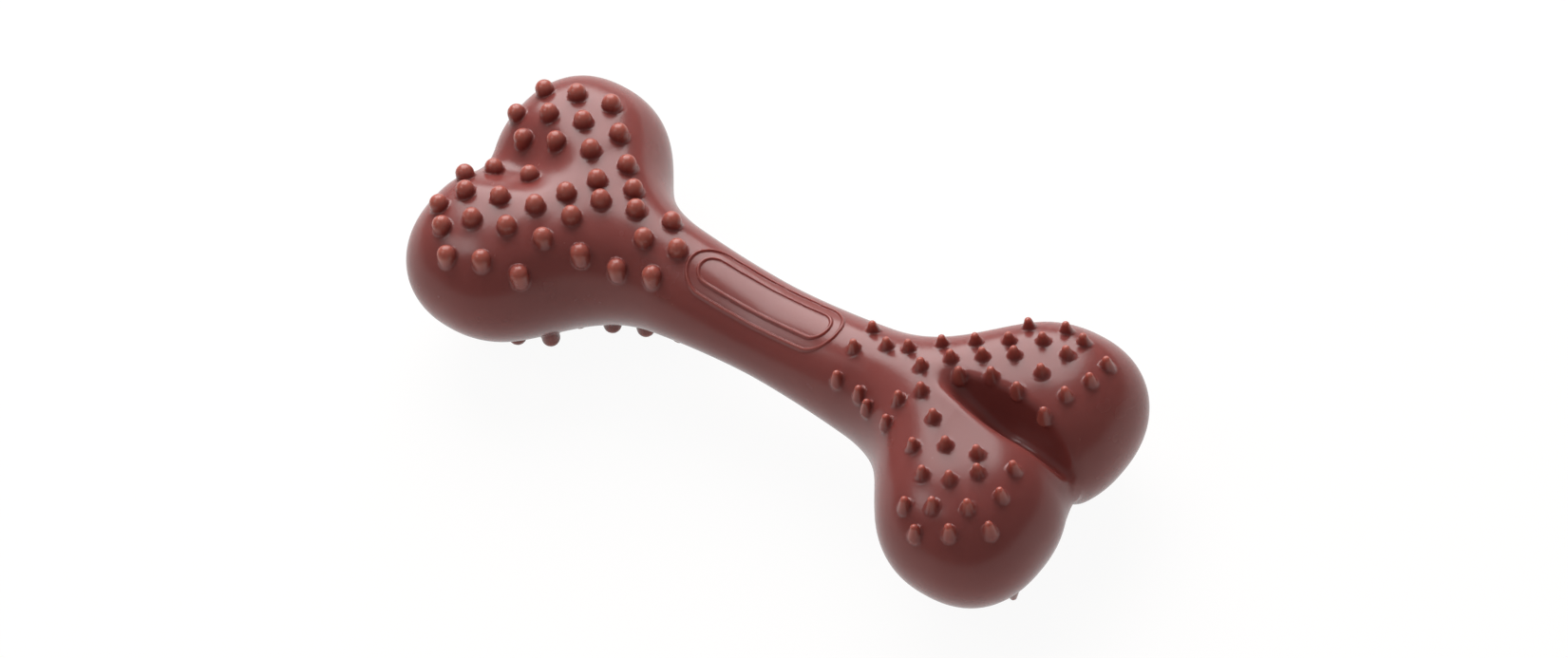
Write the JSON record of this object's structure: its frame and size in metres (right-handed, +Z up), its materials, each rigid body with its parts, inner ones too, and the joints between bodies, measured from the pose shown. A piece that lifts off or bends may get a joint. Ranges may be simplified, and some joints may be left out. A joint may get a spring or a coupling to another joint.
{
  "type": "dental chew bone",
  "caption": "Rubber dental chew bone for a dog: slim shaft with a bare outlined panel, lobed knuckle ends with cleaning nubs, ball-headed on one end and pointed on the other.",
  "frame": {"origin": "middle of the base, on the plane of the lowest nub tips that the bone lies on", "axes": "+X along the bone towards the end with pointed nubs, +Y across it towards the back, +Z up through the bare panel"},
  "size_m": [0.1248, 0.0526, 0.0314],
  "materials": {
    "rubber": "satin, slightly translucent moulded rubber, chocolate brown"
  },
  "bodies": {
    "root": {"shaft": "rubber", "bare_panel": "rubber", "neck_left": "rubber", "neck_right": "rubber", "knuckle_left_front": "rubber", "knuckle_left_back": "rubber", "knuckle_right_front": "rubber", "knuckle_right_back": "rubber", "chew_face_left_top": "rubber", "chew_face_left_bottom": "rubber", "chew_face_right_top": "rubber", "chew_face_right_bottom": "rubber"}
  },
  "joints": []
}
